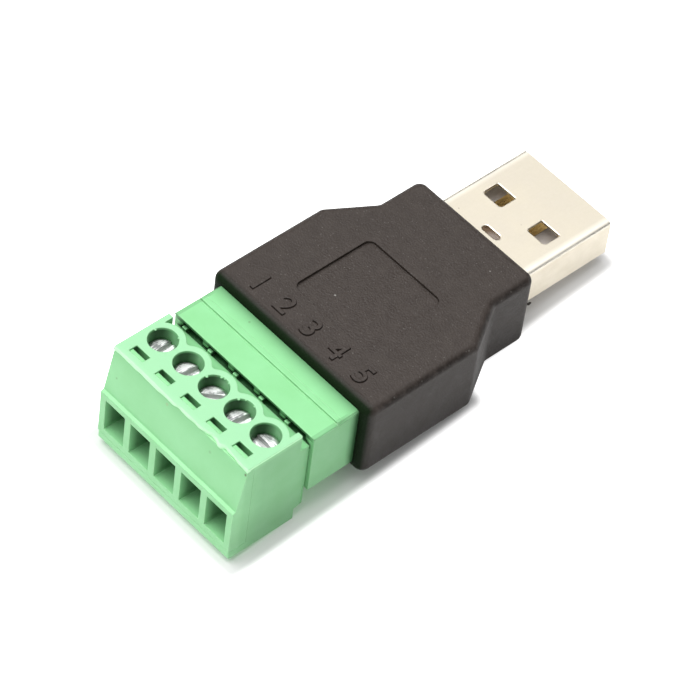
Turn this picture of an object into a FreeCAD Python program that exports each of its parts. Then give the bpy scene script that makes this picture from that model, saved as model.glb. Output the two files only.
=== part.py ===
import FreeCAD, Part
import os

# USB-A plug on one end of a moulded body, a five-way pin header with its pluggable screw
# terminal on the other. Millimetres. X runs along the length with the USB plug at +X and the
# wire entries at -X, Y runs across the ways, Z is up. The origin is the middle of the
# bounding box on its bottom plane, which is the underside of the screw terminal.

# Ways of the screw terminal
WAYS = 5
PITCH = 3.5

# Folded shell of the USB-A plug
SHELL_WIDTH = 12.0
SHELL_HEIGHT = 4.5
SHELL_SHEET = 0.3
SHELL_BARE = 12.1
SHELL_SEATED = 6.6
SHELL_BEND = 0.5
SHELL_SEAM = 0.08
WINDOW_SETBACK = 5.2
WINDOW_LENGTH = 1.95
WINDOW_WIDTH = 2.4
WINDOW_SPACING = 6.0
WINDOW_REAR_CORNER = 0.35
WINDOW_FRONT_CORNER = 0.1
CATCH_SETBACK = 9.75
CATCH_LENGTH = 0.7
CATCH_WIDTH = 2.1

# Insulator in the shell, and the strips on it
TONGUE_SETBACK = 0.35
TONGUE_SHEET = 1.95
TONGUE_SIDE_GAP = 0.15
TONGUE_CHAMFER = 0.3
INSERT_SETBACK = 9.2
INSERT_CORNER = 0.25
CATCH_RISE = 0.25
CATCH_GAP = 0.02
STRIP_PITCH_INNER = 2.0
STRIP_PITCH_OUTER = 7.0
STRIP_START_INNER = 2.2
STRIP_START_OUTER = 1.2
STRIP_WIDTH = 1.0
STRIP_SHEET = 0.25
STRIP_PROUD = 0.05
TAIL_LENGTH = 2.0

# Moulded body
BODY_LENGTH = 23.6
BODY_SIDE = 1.3
BODY_ROOF = 0.925
NOSE_LENGTH = 5.3
NOSE_SIDE = 1.9
SHOULDER_LENGTH = 4.8
BODY_CORNER = 1.0
BODY_EDGE = 0.9
PANEL_SETBACK = 9.2
PANEL_LENGTH = 9.6
PANEL_WIDTH = 9.8
PANEL_DEPTH = 0.3
PANEL_CORNER = 0.8

# Circuit board inside the body
BOARD_SIDE = 0.6
BOARD_SHEET = 1.0
BOARD_CORNER = 0.5

# Header shroud, centred on the axis of the USB plug
HEADER_HEIGHT = 7.05
HEADER_DEPTH = 9.2
HEADER_EXPOSED = 5.35
HEADER_OVERHANG = 0.4
HEADER_WALL = 0.9
HEADER_BACK = 1.2
HEADER_EDGE = 0.15
RIDGE_SETBACK = 2.88
RIDGE_LENGTH = 0.6
RIDGE_HEIGHT = 0.15
RIDGE_GROOVE = 0.12
REAR_STEP = 0.08
KEYWAY_WEB = 0.8
KEYWAY_DEPTH = 0.55
KEYWAY_LENGTH = 4.0

# Header pins
PIN_SIDE = 0.8
PIN_BELOW_AXIS = 0.75
PIN_REACH = 6.25
PIN_POINT_LENGTH = 0.5
PIN_POINT_SIDE = 0.4
PIN_ON_BOARD = 3.0

# Screw terminal housing
PLUG_HEIGHT = 11.65
PLUG_BELOW_AXIS = 7.1
BLOCK_LENGTH = 8.75
SEAT_GAP = 0.1
NOSE_GAP = 0.1
NOSE_TOP_GAP = 0.35
NOSE_END_GAP = 0.3
NOSE_END_WALL = 0.8
NOSE_CHAMFER = 0.4
RIB_WIDTH = 0.5
RIB_HEIGHT = 0.55
RIB_GAP = 0.08
LEDGE_DROP = 2.1
EAR_SETBACK = 1.05
EAR_WIDTH = 0.6
TOWER_WALL = 0.65
TOWER_FILLET = 0.4
PLATE_SHEET = 0.45
FLOOR_SHEET = 0.95
FLOOR_CHAMFER = 0.15
HEEL_SETBACK = 0.95
HEEL_HEIGHT = 1.35
HEEL_SLANT = 0.25
GROOVE_SETBACK = 0.12
GROOVE_WIDTH = 0.15
GROOVE_HEIGHT = 2.4
POCKET_WEB = 0.54
LATCH_SETBACK = 0.68
LATCH_LENGTH = 0.94
LATCH_WIDTH = 1.86
LATCH_DEPTH = 1.25

# Front cover with the wire funnels
COVER_DEPTH = 2.05
SLOPE_RUN = 1.3
LIP_DEPTH = 0.35
LIP_FALL = 0.15
LIP_ABOVE_FUNNEL = 0.7
FUNNEL_WEB = 0.8
FUNNEL_HEIGHT = 4.0
FUNNEL_ABOVE_FLOOR = 0.7
THROAT_STEP_SIDE = 0.17
THROAT_STEP = 0.08
SPIGOT_GAP = 0.1
LUG_LENGTH = 0.45
LUG_GAP = 0.05
LUG_SUNK = 0.12
LUG_ROUND = 0.15

# Clamp screws
SCREW_SETBACK = 3.55
SCREW_SUNK = 1.3
HEAD_DIAMETER = 2.8
HEAD_HEIGHT = 1.0
HEAD_BEVEL = 0.3
HEAD_BEVEL_DROP = 0.2
HEAD_GAP = 0.05
SHANK_DIAMETER = 2.0
SHANK_CHAMFER = 0.25
SLOT_WIDTH = 0.5
SLOT_DEPTH = 0.55
TIP_GAP = 0.03
SLOT_ANGLES = (4, -7, -45, -8, 88)

# Wire cages
CAGE_LENGTH = 3.0
CAGE_SHEET = 0.3
CAGE_FLOOR = 0.45
CAGE_TOP = 0.8
CAGE_MOUTH = 3.2
CAGE_GAP = 0.1
CAGE_SIDE_GAP = 0.08
CAGE_BEND = 0.35
THREAD_GAP = 0.04

# Contact forks
FORK_SHEET = 0.6
FORK_SIDE_GAP = 0.15
FORK_BELOW_PIN = 0.1
PRONG_SHEET = 0.35
PRONG_HEIGHT = 2.0
PRONG_GAP = 0.03
PRONG_ROOT = 0.6
PRONG_TAPER = 4.0
PRONG_FLARE = 0.2
CHAMBER_GAP = 0.12
PIN_HOLE_GAP = 0.15
PIN_HOLE_LEAD = 0.25

# Widths across the ways
ways_y = [PITCH * ((WAYS - 1) / 2 - i) for i in range(WAYS)]
bore_r = HEAD_DIAMETER / 2 + HEAD_GAP
tower_r = bore_r + TOWER_WALL
plug_width = PITCH * (WAYS - 1) + 2 * tower_r
header_width = plug_width + 2 * HEADER_OVERHANG
body_width = header_width + 2 * BODY_SIDE
nose_width = SHELL_WIDTH + 2 * NOSE_SIDE
cavity_width = header_width - 2 * HEADER_WALL
board_width = PITCH * (WAYS - 1) + PIN_SIDE + 2 * BOARD_SIDE
keyway_width = PITCH - KEYWAY_WEB
pocket_width = PITCH - POCKET_WEB
cage_width = pocket_width - 2 * CAGE_SIDE_GAP
cage_way_width = cage_width - 2 * CAGE_SHEET
fork_width = cage_way_width - 2 * FORK_SIDE_GAP
funnel_width = PITCH - FUNNEL_WEB
throat_width = cage_way_width - 2 * THROAT_STEP_SIDE
insert_width = SHELL_WIDTH - 2 * SHELL_SHEET

# Stations along X
total_length = SHELL_BARE + BODY_LENGTH + HEADER_EXPOSED + SEAT_GAP + BLOCK_LENGTH
tip_x = total_length / 2
nose_x = tip_x - SHELL_BARE
shell_rear_x = nose_x - SHELL_SEATED
rear_x = nose_x - BODY_LENGTH
mouth_x = rear_x - HEADER_EXPOSED
header_rear_x = mouth_x + HEADER_DEPTH
cavity_x = header_rear_x - HEADER_BACK
block_x = mouth_x - SEAT_GAP
face_x = block_x - BLOCK_LENGTH
edge_x = face_x + SLOPE_RUN
seam_x = face_x + COVER_DEPTH
screw_x = block_x - SCREW_SETBACK
cage_front_x = screw_x - CAGE_LENGTH / 2
cage_rear_x = screw_x + CAGE_LENGTH / 2
spigot_x = cage_front_x - CAGE_GAP
pocket_x = cage_rear_x + CAGE_GAP
plug_nose_x = cavity_x - NOSE_END_GAP
fork_room_x = plug_nose_x - NOSE_END_WALL
fork_root_x = block_x + PRONG_ROOT
latch_x = edge_x + LATCH_SETBACK
tongue_x = tip_x - TONGUE_SETBACK

# Stations along Z
axis_z = PLUG_BELOW_AXIS
shell_top_z = axis_z + SHELL_HEIGHT / 2
shell_low_z = axis_z - SHELL_HEIGHT / 2
shell_roof_z = shell_top_z - SHELL_SHEET
shell_floor_z = shell_low_z + SHELL_SHEET
tongue_z = shell_floor_z + TONGUE_SHEET
header_top_z = axis_z + HEADER_HEIGHT / 2
header_low_z = axis_z - HEADER_HEIGHT / 2
cavity_top_z = header_top_z - HEADER_WALL
cavity_low_z = header_low_z + HEADER_WALL
body_top_z = header_top_z + BODY_ROOF
body_low_z = header_low_z - BODY_ROOF
plate_z = PLUG_HEIGHT - PLATE_SHEET
ledge_z = PLUG_HEIGHT - LEDGE_DROP
pin_z = axis_z - PIN_BELOW_AXIS
board_z = pin_z - PIN_SIDE / 2
fork_top_z = board_z - FORK_BELOW_PIN
fork_low_z = fork_top_z - FORK_SHEET
head_top_z = PLUG_HEIGHT - SCREW_SUNK
head_low_z = head_top_z - HEAD_HEIGHT
cage_way_low_z = fork_low_z - CAGE_MOUTH
cage_low_z = cage_way_low_z - CAGE_FLOOR
cage_way_top_z = fork_top_z + CAGE_GAP
cage_top_z = cage_way_top_z + CAGE_TOP
pocket_low_z = cage_low_z - CAGE_GAP
funnel_low_z = FLOOR_SHEET + FUNNEL_ABOVE_FLOOR
funnel_top_z = funnel_low_z + FUNNEL_HEIGHT
lip_z = funnel_top_z + LIP_ABOVE_FUNNEL

# How far a cutter runs past the face it cuts, and how far a fused piece reaches into its host
PAST = 1.0
BITE = 0.1
UP = FreeCAD.Vector(0, 0, 1)


def vec(x, y, z):
    return FreeCAD.Vector(x, y, z)


def block(x0, x1, y0, y1, z0, z1):
    return Part.makeBox(x1 - x0, y1 - y0, z1 - z0, vec(x0, y0, z0))


def bar(x0, x1, y, width, z0, z1):
    return block(x0, x1, y - width / 2, y + width / 2, z0, z1)


# A side outline of (x, z) points, extruded across the ways about the middle plane
def across(points, width):
    wire = Part.makePolygon([vec(x, -width / 2, z) for x, z in points + points[:1]])
    return Part.Face(wire).extrude(vec(0, width, 0))


# A plan outline of (x, y) points, extruded upwards
def upright(points, z0, z1):
    wire = Part.makePolygon([vec(x, y, z0) for x, y in points + points[:1]])
    return Part.Face(wire).extrude(vec(0, 0, z1 - z0))


# A rectangle across X, as one section of a loft
def section(x, y, width, z0, z1):
    y0 = y - width / 2
    y1 = y + width / 2
    corners = [vec(x, y0, z0), vec(x, y1, z0), vec(x, y1, z1), vec(x, y0, z1)]
    return Part.makePolygon(corners + corners[:1])


# The straight edges that run along one axis, 0 for X to 2 for Z
def edges_along(shape, axis, keep=lambda middle: True):
    found = []
    for edge in shape.Edges:
        if edge.Curve.TypeId == "Part::GeomLine":
            run = tuple(edge.Curve.Direction)
            if abs(run[axis]) > 0.999 and keep(edge.CenterOfMass):
                found.append(edge)
    return found


def rounded_bar(x0, x1, width, z0, z1, radius):
    solid = bar(x0, x1, 0, width, z0, z1)
    return solid.makeFillet(radius, edges_along(solid, 0))


def joined(first, others):
    return first.fuse(others).removeSplitter()


# The small round-ended slot in the roof of the shell, or the bump that locks in it
def catch(z0, z1, gap):
    front_x = tip_x - CATCH_SETBACK - gap
    back_x = tip_x - CATCH_SETBACK - CATCH_LENGTH + gap
    radius = (front_x - back_x) / 2
    reach = CATCH_WIDTH / 2 - gap - radius
    ends = [Part.makeCylinder(radius, z1 - z0, vec(back_x + radius, side * reach, z0), UP)
            for side in (1, -1)]
    return joined(block(back_x, front_x, -reach, reach, z0, z1), ends)


def usb_shell():
    tube = rounded_bar(shell_rear_x, tip_x, SHELL_WIDTH, shell_low_z, shell_top_z, SHELL_BEND)
    bore = rounded_bar(shell_rear_x - PAST, tip_x + PAST, insert_width, shell_floor_z,
                       shell_roof_z, SHELL_BEND - SHELL_SHEET)
    seam = bar(shell_rear_x - PAST, tip_x + PAST, 0, SHELL_SEAM, shell_low_z - PAST, axis_z)
    openings = [bore, seam, catch(axis_z, shell_top_z + PAST, 0)]
    front_x = tip_x - WINDOW_SETBACK
    back_x = front_x - WINDOW_LENGTH
    middle_x = (front_x + back_x) / 2
    for side in (1, -1):
        window = bar(back_x, front_x, side * WINDOW_SPACING / 2, WINDOW_WIDTH,
                     shell_low_z - PAST, shell_top_z + PAST)
        rear = edges_along(window, 2, lambda middle: middle.x < middle_x)
        window = window.makeFillet(WINDOW_REAR_CORNER, rear)
        front = edges_along(window, 2, lambda middle: middle.x > front_x - BITE)
        openings.append(window.makeFillet(WINDOW_FRONT_CORNER, front))
    return tube.cut(openings)


def strips():
    inner = [(STRIP_PITCH_INNER / 2, STRIP_START_INNER)]
    outer = [(STRIP_PITCH_OUTER / 2, STRIP_START_OUTER)]
    far = outer + inner
    near = [(-y, start) for y, start in inner + outer]
    return [usb_contact(y, tongue_x - start) for y, start in far + near]


# A strip along the tongue, a step down behind the insert and a tail on the board
def usb_contact(y, front_x):
    top_z = tongue_z + STRIP_PROUD
    heel_x = shell_rear_x - STRIP_SHEET
    run = bar(heel_x, front_x, y, STRIP_WIDTH, top_z - STRIP_SHEET, top_z)
    drop = bar(heel_x, shell_rear_x, y, STRIP_WIDTH, board_z, top_z)
    tail = bar(heel_x - TAIL_LENGTH, shell_rear_x, y, STRIP_WIDTH, board_z,
               board_z + STRIP_SHEET)
    return joined(run, [drop, tail])


# The tongue, the insert that fills the rear of the shell, and half a bump in its catch slot
def usb_tongue(contacts):
    insert_x = tip_x - INSERT_SETBACK
    chamfer = TONGUE_CHAMFER
    tongue = across([(insert_x - BITE, shell_floor_z), (tongue_x, shell_floor_z),
                     (tongue_x, tongue_z - chamfer), (tongue_x - chamfer, tongue_z),
                     (insert_x - BITE, tongue_z)], insert_width - 2 * TONGUE_SIDE_GAP)
    insert = rounded_bar(shell_rear_x, insert_x, insert_width, shell_floor_z, shell_roof_z,
                         INSERT_CORNER)
    bump = catch(tongue_z, shell_roof_z + CATCH_RISE, CATCH_GAP)
    front_half = block(tip_x - CATCH_SETBACK - CATCH_LENGTH / 2, tip_x, -SHELL_WIDTH,
                       SHELL_WIDTH, shell_roof_z, shell_top_z)
    return joined(tongue, [insert, bump.cut(front_half)]).cut(contacts)


def circuit_board():
    board = bar(header_rear_x + STRIP_SHEET, shell_rear_x - STRIP_SHEET, 0, board_width,
                board_z - BOARD_SHEET, board_z)
    return board.makeFillet(BOARD_CORNER, edges_along(board, 2))


# A square pin with a tapered point that lies on the board at its rear end
def header_pin(y):
    start_x = cavity_x - PIN_REACH
    full_x = start_x + PIN_POINT_LENGTH
    low_z = pin_z - PIN_SIDE / 2
    top_z = pin_z + PIN_SIDE / 2
    shaft = bar(full_x, header_rear_x + PIN_ON_BOARD, y, PIN_SIDE, low_z, top_z)
    point = Part.makeLoft([section(start_x, y, PIN_POINT_SIDE, pin_z - PIN_POINT_SIDE / 2,
                                   pin_z + PIN_POINT_SIDE / 2),
                           section(full_x, y, PIN_SIDE, low_z, top_z)], True)
    return joined(shaft, [point])


# The outside of the header, with the grooved ridge across its roof and the higher rear part
def header_block():
    solid = bar(mouth_x, header_rear_x, 0, header_width, header_low_z, header_top_z)
    solid = solid.makeFillet(HEADER_EDGE, edges_along(solid, 0))
    roof_width = header_width - 2 * HEADER_EDGE
    root_z = header_top_z - HEADER_EDGE
    ridge_x = mouth_x + RIDGE_SETBACK
    ridge = bar(ridge_x, ridge_x + RIDGE_LENGTH, 0, roof_width, root_z,
                header_top_z + RIDGE_HEIGHT)
    rear = bar(ridge_x, header_rear_x, 0, roof_width, root_z, header_top_z + REAR_STEP)
    groove = bar(ridge_x - RIDGE_GROOVE, ridge_x, 0, header_width + PAST,
                 header_top_z - RIDGE_GROOVE, header_top_z + PAST)
    return joined(solid, [ridge, rear]).cut(groove)


def header_housing(pins):
    cavity = bar(mouth_x - PAST, cavity_x, 0, cavity_width, cavity_low_z, cavity_top_z)
    keyways = [bar(mouth_x - PAST, mouth_x + KEYWAY_LENGTH, y, keyway_width,
                   cavity_top_z - BITE, cavity_top_z + KEYWAY_DEPTH) for y in ways_y]
    return header_block().cut([cavity] + keyways + pins)


# Wide at the header, straight shoulders, narrow at the USB plug, every outer edge rounded
def overmould(contacts, pins):
    wide = body_width / 2
    narrow = nose_width / 2
    front_x = nose_x - NOSE_LENGTH
    back_x = front_x - SHOULDER_LENGTH
    side = [(nose_x, narrow), (front_x, narrow), (back_x, wide), (rear_x, wide)]
    plan = side + [(x, -y) for x, y in reversed(side)]
    body = upright(plan, body_low_z, body_top_z)
    body = body.makeFillet(BODY_CORNER, edges_along(body, 2))
    rims = [edge for edge in body.Edges if edge.BoundBox.ZLength < BITE]
    body = body.makeFillet(BODY_EDGE, rims)
    panel_x = nose_x - PANEL_SETBACK
    panel = bar(panel_x - PANEL_LENGTH, panel_x, 0, PANEL_WIDTH, body_top_z - PANEL_DEPTH,
                body_top_z + PAST)
    panel = panel.makeFillet(PANEL_CORNER, edges_along(panel, 2))
    shell = rounded_bar(shell_rear_x, nose_x + PAST, SHELL_WIDTH, shell_low_z, shell_top_z,
                        SHELL_BEND)
    return body.cut([panel, shell, circuit_board(), header_block()] + contacts + pins)


# The upper part of the plug: a plate, a rounded wall round each driver hole, and two ears
def tower_row():
    z0 = ledge_z
    z1 = PLUG_HEIGHT
    plate = bar(edge_x, screw_x, 0, plug_width, z0, z1)
    ear_y = (plug_width - EAR_WIDTH) / 2
    ears = [bar(edge_x, block_x - EAR_SETBACK, side * ear_y, EAR_WIDTH, z0, z1)
            for side in (1, -1)]
    walls = [Part.makeCylinder(tower_r, z1 - z0, vec(screw_x, y, z0), UP) for y in ways_y]
    # where two walls meet, a web filled up to a fillet that touches both
    reach = tower_r + TOWER_FILLET
    rise = (reach ** 2 - (PITCH / 2) ** 2) ** 0.5
    touch_x = screw_x + rise * tower_r / reach
    web_width = PITCH * TOWER_FILLET / reach
    webs = []
    for y in ways_y[:-1]:
        middle = y - PITCH / 2
        web = bar(screw_x - BITE, touch_x, middle, web_width, z0, z1)
        fillet = Part.makeCylinder(TOWER_FILLET, z1 - z0, vec(screw_x + rise, middle, z0), UP)
        webs.append(web.cut(fillet))
    return joined(plate, ears + walls + webs)


# The lower part of the plug from the side, with its cut heel and the floor under the cover
def plug_block():
    heel_x = block_x - HEEL_SETBACK
    heel_z = HEEL_HEIGHT + HEEL_SLANT
    body = across([(face_x, 0), (heel_x, 0), (heel_x, HEEL_HEIGHT), (block_x, heel_z),
                   (block_x, ledge_z), (seam_x, ledge_z), (seam_x, FLOOR_SHEET),
                   (face_x, FLOOR_SHEET)], plug_width)
    foot = [edge for edge in body.Edges
            if edge.BoundBox.XMax < face_x + BITE and edge.CenterOfMass.z < FLOOR_SHEET - BITE]
    body = body.makeChamfer(FLOOR_CHAMFER, foot)
    groove_x = block_x - GROOVE_SETBACK
    grooves = [bar(groove_x - GROOVE_WIDTH, groove_x, side * plug_width / 2,
                   2 * GROOVE_WIDTH, heel_z, heel_z + GROOVE_HEIGHT) for side in (1, -1)]
    return body.cut(grooves)


# The part of the plug that goes into the header, with a coding rib for each way
def plug_nose():
    low_z = cavity_low_z + NOSE_GAP
    top_z = cavity_top_z - NOSE_TOP_GAP
    nose = bar(block_x - PAST, plug_nose_x, 0, cavity_width - 2 * NOSE_GAP, low_z, top_z)
    front = [edge for edge in nose.Edges if edge.BoundBox.XMin > plug_nose_x - BITE]
    nose = nose.makeChamfer(NOSE_CHAMFER, front)
    rib_y = (keyway_width - RIB_WIDTH) / 2 - RIB_GAP
    ribs = [bar(block_x - BITE, mouth_x + KEYWAY_LENGTH - NOSE_END_GAP, y + rib_y, RIB_WIDTH,
                top_z - BITE, top_z + RIB_HEIGHT) for y in ways_y]
    return joined(nose, ribs)


# Room for one contact fork: a slot that holds its strip, space for the prongs, the pin hole
def fork_space(y):
    slot = bar(pocket_x - BITE, fork_root_x, y, fork_width, fork_low_z, fork_top_z)
    room = bar(block_x, fork_room_x, y, fork_width + 2 * CHAMBER_GAP,
               fork_low_z - CHAMBER_GAP, fork_low_z + PRONG_HEIGHT + CHAMBER_GAP)
    hole = PIN_SIDE + 2 * PIN_HOLE_GAP
    wide = hole + 2 * PIN_HOLE_LEAD
    entry = bar(fork_room_x - BITE, plug_nose_x, y, hole, pin_z - hole / 2, pin_z + hole / 2)
    lead = Part.makeLoft([
        section(plug_nose_x - PIN_HOLE_LEAD, y, hole, pin_z - hole / 2, pin_z + hole / 2),
        section(plug_nose_x, y, wide, pin_z - wide / 2, pin_z + wide / 2)], True)
    return [slot, room, entry, lead]


def plug_housing():
    body = joined(plug_block(), [tower_row(), plug_nose()])
    cuts = [bar(face_x - PAST, seam_x, 0, plug_width + PAST, FLOOR_SHEET, plate_z)]
    for y in ways_y:
        cuts.append(Part.makeCylinder(bore_r, PLUG_HEIGHT, vec(screw_x, y, head_low_z), UP))
        cuts.append(bar(seam_x - PAST, pocket_x, y, pocket_width, pocket_low_z, head_low_z))
        cuts.append(bar(latch_x, latch_x + LATCH_LENGTH, y, LATCH_WIDTH,
                        PLUG_HEIGHT - LATCH_DEPTH, PLUG_HEIGHT + PAST))
        cuts += fork_space(y)
    return body.cut(cuts)


# The tapered way a wire takes from the face of the cover to the end of its spigot
def wire_way(y):
    return Part.makeLoft([
        section(face_x, y, funnel_width, funnel_low_z, funnel_top_z),
        section(spigot_x, y, throat_width, cage_way_low_z + THROAT_STEP,
                fork_low_z - THROAT_STEP)], True)


# A latch on the top edge of the cover that snaps into a window of the plate
def latch_lug(y):
    back_x = latch_x + LUG_GAP + LUG_LENGTH
    lug = bar(latch_x + LUG_GAP, back_x, y, LATCH_WIDTH - 2 * LUG_GAP,
              PLUG_HEIGHT - LATCH_DEPTH + LUG_GAP, PLUG_HEIGHT - LUG_SUNK)
    rear_top = edges_along(lug, 1, lambda middle: middle.x > back_x - BITE and
                           middle.z > plate_z)
    return lug.makeFillet(LUG_ROUND, rear_top)


def wire_cover():
    cover = across([(face_x, FLOOR_SHEET), (seam_x, FLOOR_SHEET), (seam_x, plate_z),
                    (edge_x, plate_z), (face_x + LIP_DEPTH, lip_z + LIP_FALL),
                    (face_x, lip_z)], plug_width)
    spigots = [bar(seam_x - BITE, spigot_x, y, pocket_width - 2 * SPIGOT_GAP,
                   pocket_low_z + SPIGOT_GAP, fork_top_z) for y in ways_y]
    lugs = [latch_lug(y) for y in ways_y]
    return joined(cover, spigots + lugs).cut([wire_way(y) for y in ways_y])


def clamp_screw(y, slot_angle):
    head_r = HEAD_DIAMETER / 2
    shank_r = SHANK_DIAMETER / 2
    tip_z = fork_top_z + TIP_GAP
    outline = [(0, tip_z), (shank_r - SHANK_CHAMFER, tip_z), (shank_r, tip_z + SHANK_CHAMFER),
               (shank_r, head_low_z), (head_r, head_low_z),
               (head_r, head_top_z - HEAD_BEVEL_DROP), (head_r - HEAD_BEVEL, head_top_z),
               (0, head_top_z)]
    wire = Part.makePolygon([vec(screw_x + r, y, z) for r, z in outline + outline[:1]])
    screw = Part.Face(wire).revolve(vec(screw_x, y, 0), UP, 360)
    slot = bar(-HEAD_DIAMETER, HEAD_DIAMETER, 0, SLOT_WIDTH, head_top_z - SLOT_DEPTH,
               head_top_z + PAST)
    slot.rotate(vec(0, 0, 0), UP, slot_angle)
    slot.translate(vec(screw_x, y, 0))
    return screw.cut(slot)


# A sleeve folded from sheet, open along X for the wire and threaded through its thick top
def wire_cage(y):
    sleeve = bar(cage_front_x, cage_rear_x, y, cage_width, cage_low_z, cage_top_z)
    sleeve = sleeve.makeFillet(CAGE_BEND, edges_along(sleeve, 0))
    way = bar(cage_front_x - PAST, cage_rear_x + PAST, y, cage_way_width, cage_way_low_z,
              cage_way_top_z)
    thread = Part.makeCylinder(SHANK_DIAMETER / 2 + THREAD_GAP, CAGE_TOP + PAST,
                               vec(screw_x, y, cage_way_top_z - BITE), UP)
    return sleeve.cut([way, thread])


# A strip under the clamp that runs into the nose and ends in two prongs round the pin
def contact_fork(y):
    half = fork_width / 2
    sheet = PRONG_SHEET
    full_x = fork_root_x + PRONG_ROOT
    end_x = fork_room_x - CHAMBER_GAP
    nip_x = full_x + PRONG_TAPER
    grip = PIN_SIDE / 2 + PRONG_GAP
    strip = bar(cage_front_x + CAGE_GAP, full_x, y, fork_width, fork_low_z, fork_top_z)
    prongs = []
    for side in (1, -1):
        plan = [(fork_root_x, half), (fork_root_x, half - sheet), (full_x, half - sheet),
                (nip_x, grip), (end_x, grip + PRONG_FLARE),
                (end_x, grip + PRONG_FLARE + sheet), (nip_x, grip + sheet), (full_x, half)]
        outline = [(x, y + side * w) for x, w in plan]
        prongs.append(upright(outline, fork_low_z, fork_low_z + PRONG_HEIGHT))
    return joined(strip, prongs)


def save(name, shape):
    assert shape.isValid() and len(shape.Solids) == 1, name
    shape.exportStep("parts/" + name + ".step")
    box = shape.BoundBox
    print("%-16s volume %8.2f  x %.2f..%.2f  y %.2f..%.2f  z %.2f..%.2f" % (
        name, shape.Volume, box.XMin, box.XMax, box.YMin, box.YMax, box.ZMin, box.ZMax))


def main():
    os.makedirs("parts", exist_ok=True)
    contacts = strips()
    pins = [header_pin(y) for y in ways_y]
    save("overmould", overmould(contacts, pins))
    save("usb_shell", usb_shell())
    save("usb_tongue", usb_tongue(contacts))
    save("circuit_board", circuit_board())
    save("header_housing", header_housing(pins))
    save("plug_housing", plug_housing())
    save("wire_cover", wire_cover())
    for i, contact in enumerate(contacts):
        save("usb_contact_%d" % (i + 1), contact)
    for i, y in enumerate(ways_y):
        save("header_pin_%d" % (i + 1), pins[i])
        save("contact_fork_%d" % (i + 1), contact_fork(y))
        save("wire_cage_%d" % (i + 1), wire_cage(y))
        save("clamp_screw_%d" % (i + 1), clamp_screw(y, SLOT_ANGLES[i % len(SLOT_ANGLES)]))


main()
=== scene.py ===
import math

import bmesh
import bpy
from mathutils import Matrix, Vector, noise


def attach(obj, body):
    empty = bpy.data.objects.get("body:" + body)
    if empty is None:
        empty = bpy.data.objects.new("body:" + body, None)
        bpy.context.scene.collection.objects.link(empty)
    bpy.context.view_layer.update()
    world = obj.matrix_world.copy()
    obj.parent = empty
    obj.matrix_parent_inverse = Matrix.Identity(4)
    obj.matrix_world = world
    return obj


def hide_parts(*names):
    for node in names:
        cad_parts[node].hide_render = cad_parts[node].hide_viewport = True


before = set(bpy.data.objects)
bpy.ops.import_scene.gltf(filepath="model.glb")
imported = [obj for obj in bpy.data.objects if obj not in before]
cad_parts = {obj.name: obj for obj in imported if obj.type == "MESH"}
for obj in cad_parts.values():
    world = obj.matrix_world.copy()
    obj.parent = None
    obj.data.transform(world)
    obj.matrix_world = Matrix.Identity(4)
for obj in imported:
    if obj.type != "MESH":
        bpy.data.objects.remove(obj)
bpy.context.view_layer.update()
mm = 0.001
wayY = [7.0, 3.5, 0.0, -3.5, -7.0]  # middle of each way, in mm
print("frame loaded with", len(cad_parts), "solids")


# Small helpers for node trees

def isSocket(value):
    return isinstance(value, bpy.types.NodeSocket)


def link(tree, source, target):
    tree.links.new(source, target)


def addNode(tree, kind, values=None, **settings):
    # values go to the inputs by name or number: a socket is linked, anything else is set
    node = tree.nodes.new(kind)
    for name, value in settings.items():
        setattr(node, name, value)
    for name, value in (values or {}).items():
        if isSocket(value):
            link(tree, value, node.inputs[name])
        else:
            node.inputs[name].default_value = value
    return node


def ramp(tree, source, low, high, lowValue=0.0, highValue=1.0):
    return addNode(tree, "ShaderNodeMapRange", {
        "Value": source, "From Min": low, "From Max": high, "To Min": lowValue, "To Max": highValue},
        clamp=True).outputs["Result"]


def mixColor(tree, factor, first, second):
    first, second = (value if isSocket(value) else (*value, 1.0) for value in (first, second))
    return addNode(tree, "ShaderNodeMix", {"Factor": factor, 6: first, 7: second},
                   data_type="RGBA").outputs[2]


def math2(tree, operation, first, second=0.0):
    return addNode(tree, "ShaderNodeMath", {0: first, 1: second}, operation=operation).outputs[0]


def chain(tree, operation, first, *others):
    for other in others:
        first = math2(tree, operation, first, other)
    return first


def splitAxes(tree, vector):
    node = addNode(tree, "ShaderNodeSeparateXYZ", {"Vector": vector})
    return [node.outputs[axis] for axis in "XYZ"]


def cloud(tree, vector, scale, detail, roughness=0.5):
    return addNode(tree, "ShaderNodeTexNoise", {
        "Vector": vector, "Scale": scale, "Detail": detail, "Roughness": roughness}).outputs["Fac"]


def newGroup(name, inputs, output):
    # an input with no value is a vector, every other socket is a number
    tree = bpy.data.node_groups.new(name, "ShaderNodeTree")
    for label, value in inputs.items():
        kind = "NodeSocketVector" if value is None else "NodeSocketFloat"
        socket = tree.interface.new_socket(name=label, in_out="INPUT", socket_type=kind)
        if value is not None:
            socket.default_value = value
    tree.interface.new_socket(name=output, in_out="OUTPUT", socket_type="NodeSocketFloat")
    return tree, tree.nodes.new("NodeGroupInput").outputs, tree.nodes.new("NodeGroupOutput").inputs[0]


def useGroup(tree, group, values):
    return addNode(tree, "ShaderNodeGroup", values, node_tree=group).outputs[0]


# Shared effects

def makeGrainGroup():
    tree, given, end = newGroup("mouldGrain", {"Vector": None, "Size": 0.00015, "Waviness": 0.3}, "Height")
    fine = cloud(tree, given["Vector"], math2(tree, "DIVIDE", 1.0, given["Size"]), 3.0, 0.6)
    wave = math2(tree, "MULTIPLY", cloud(tree, given["Vector"], 260.0, 2.0), given["Waviness"])
    link(tree, math2(tree, "ADD", fine, wave), end)
    return tree


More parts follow.
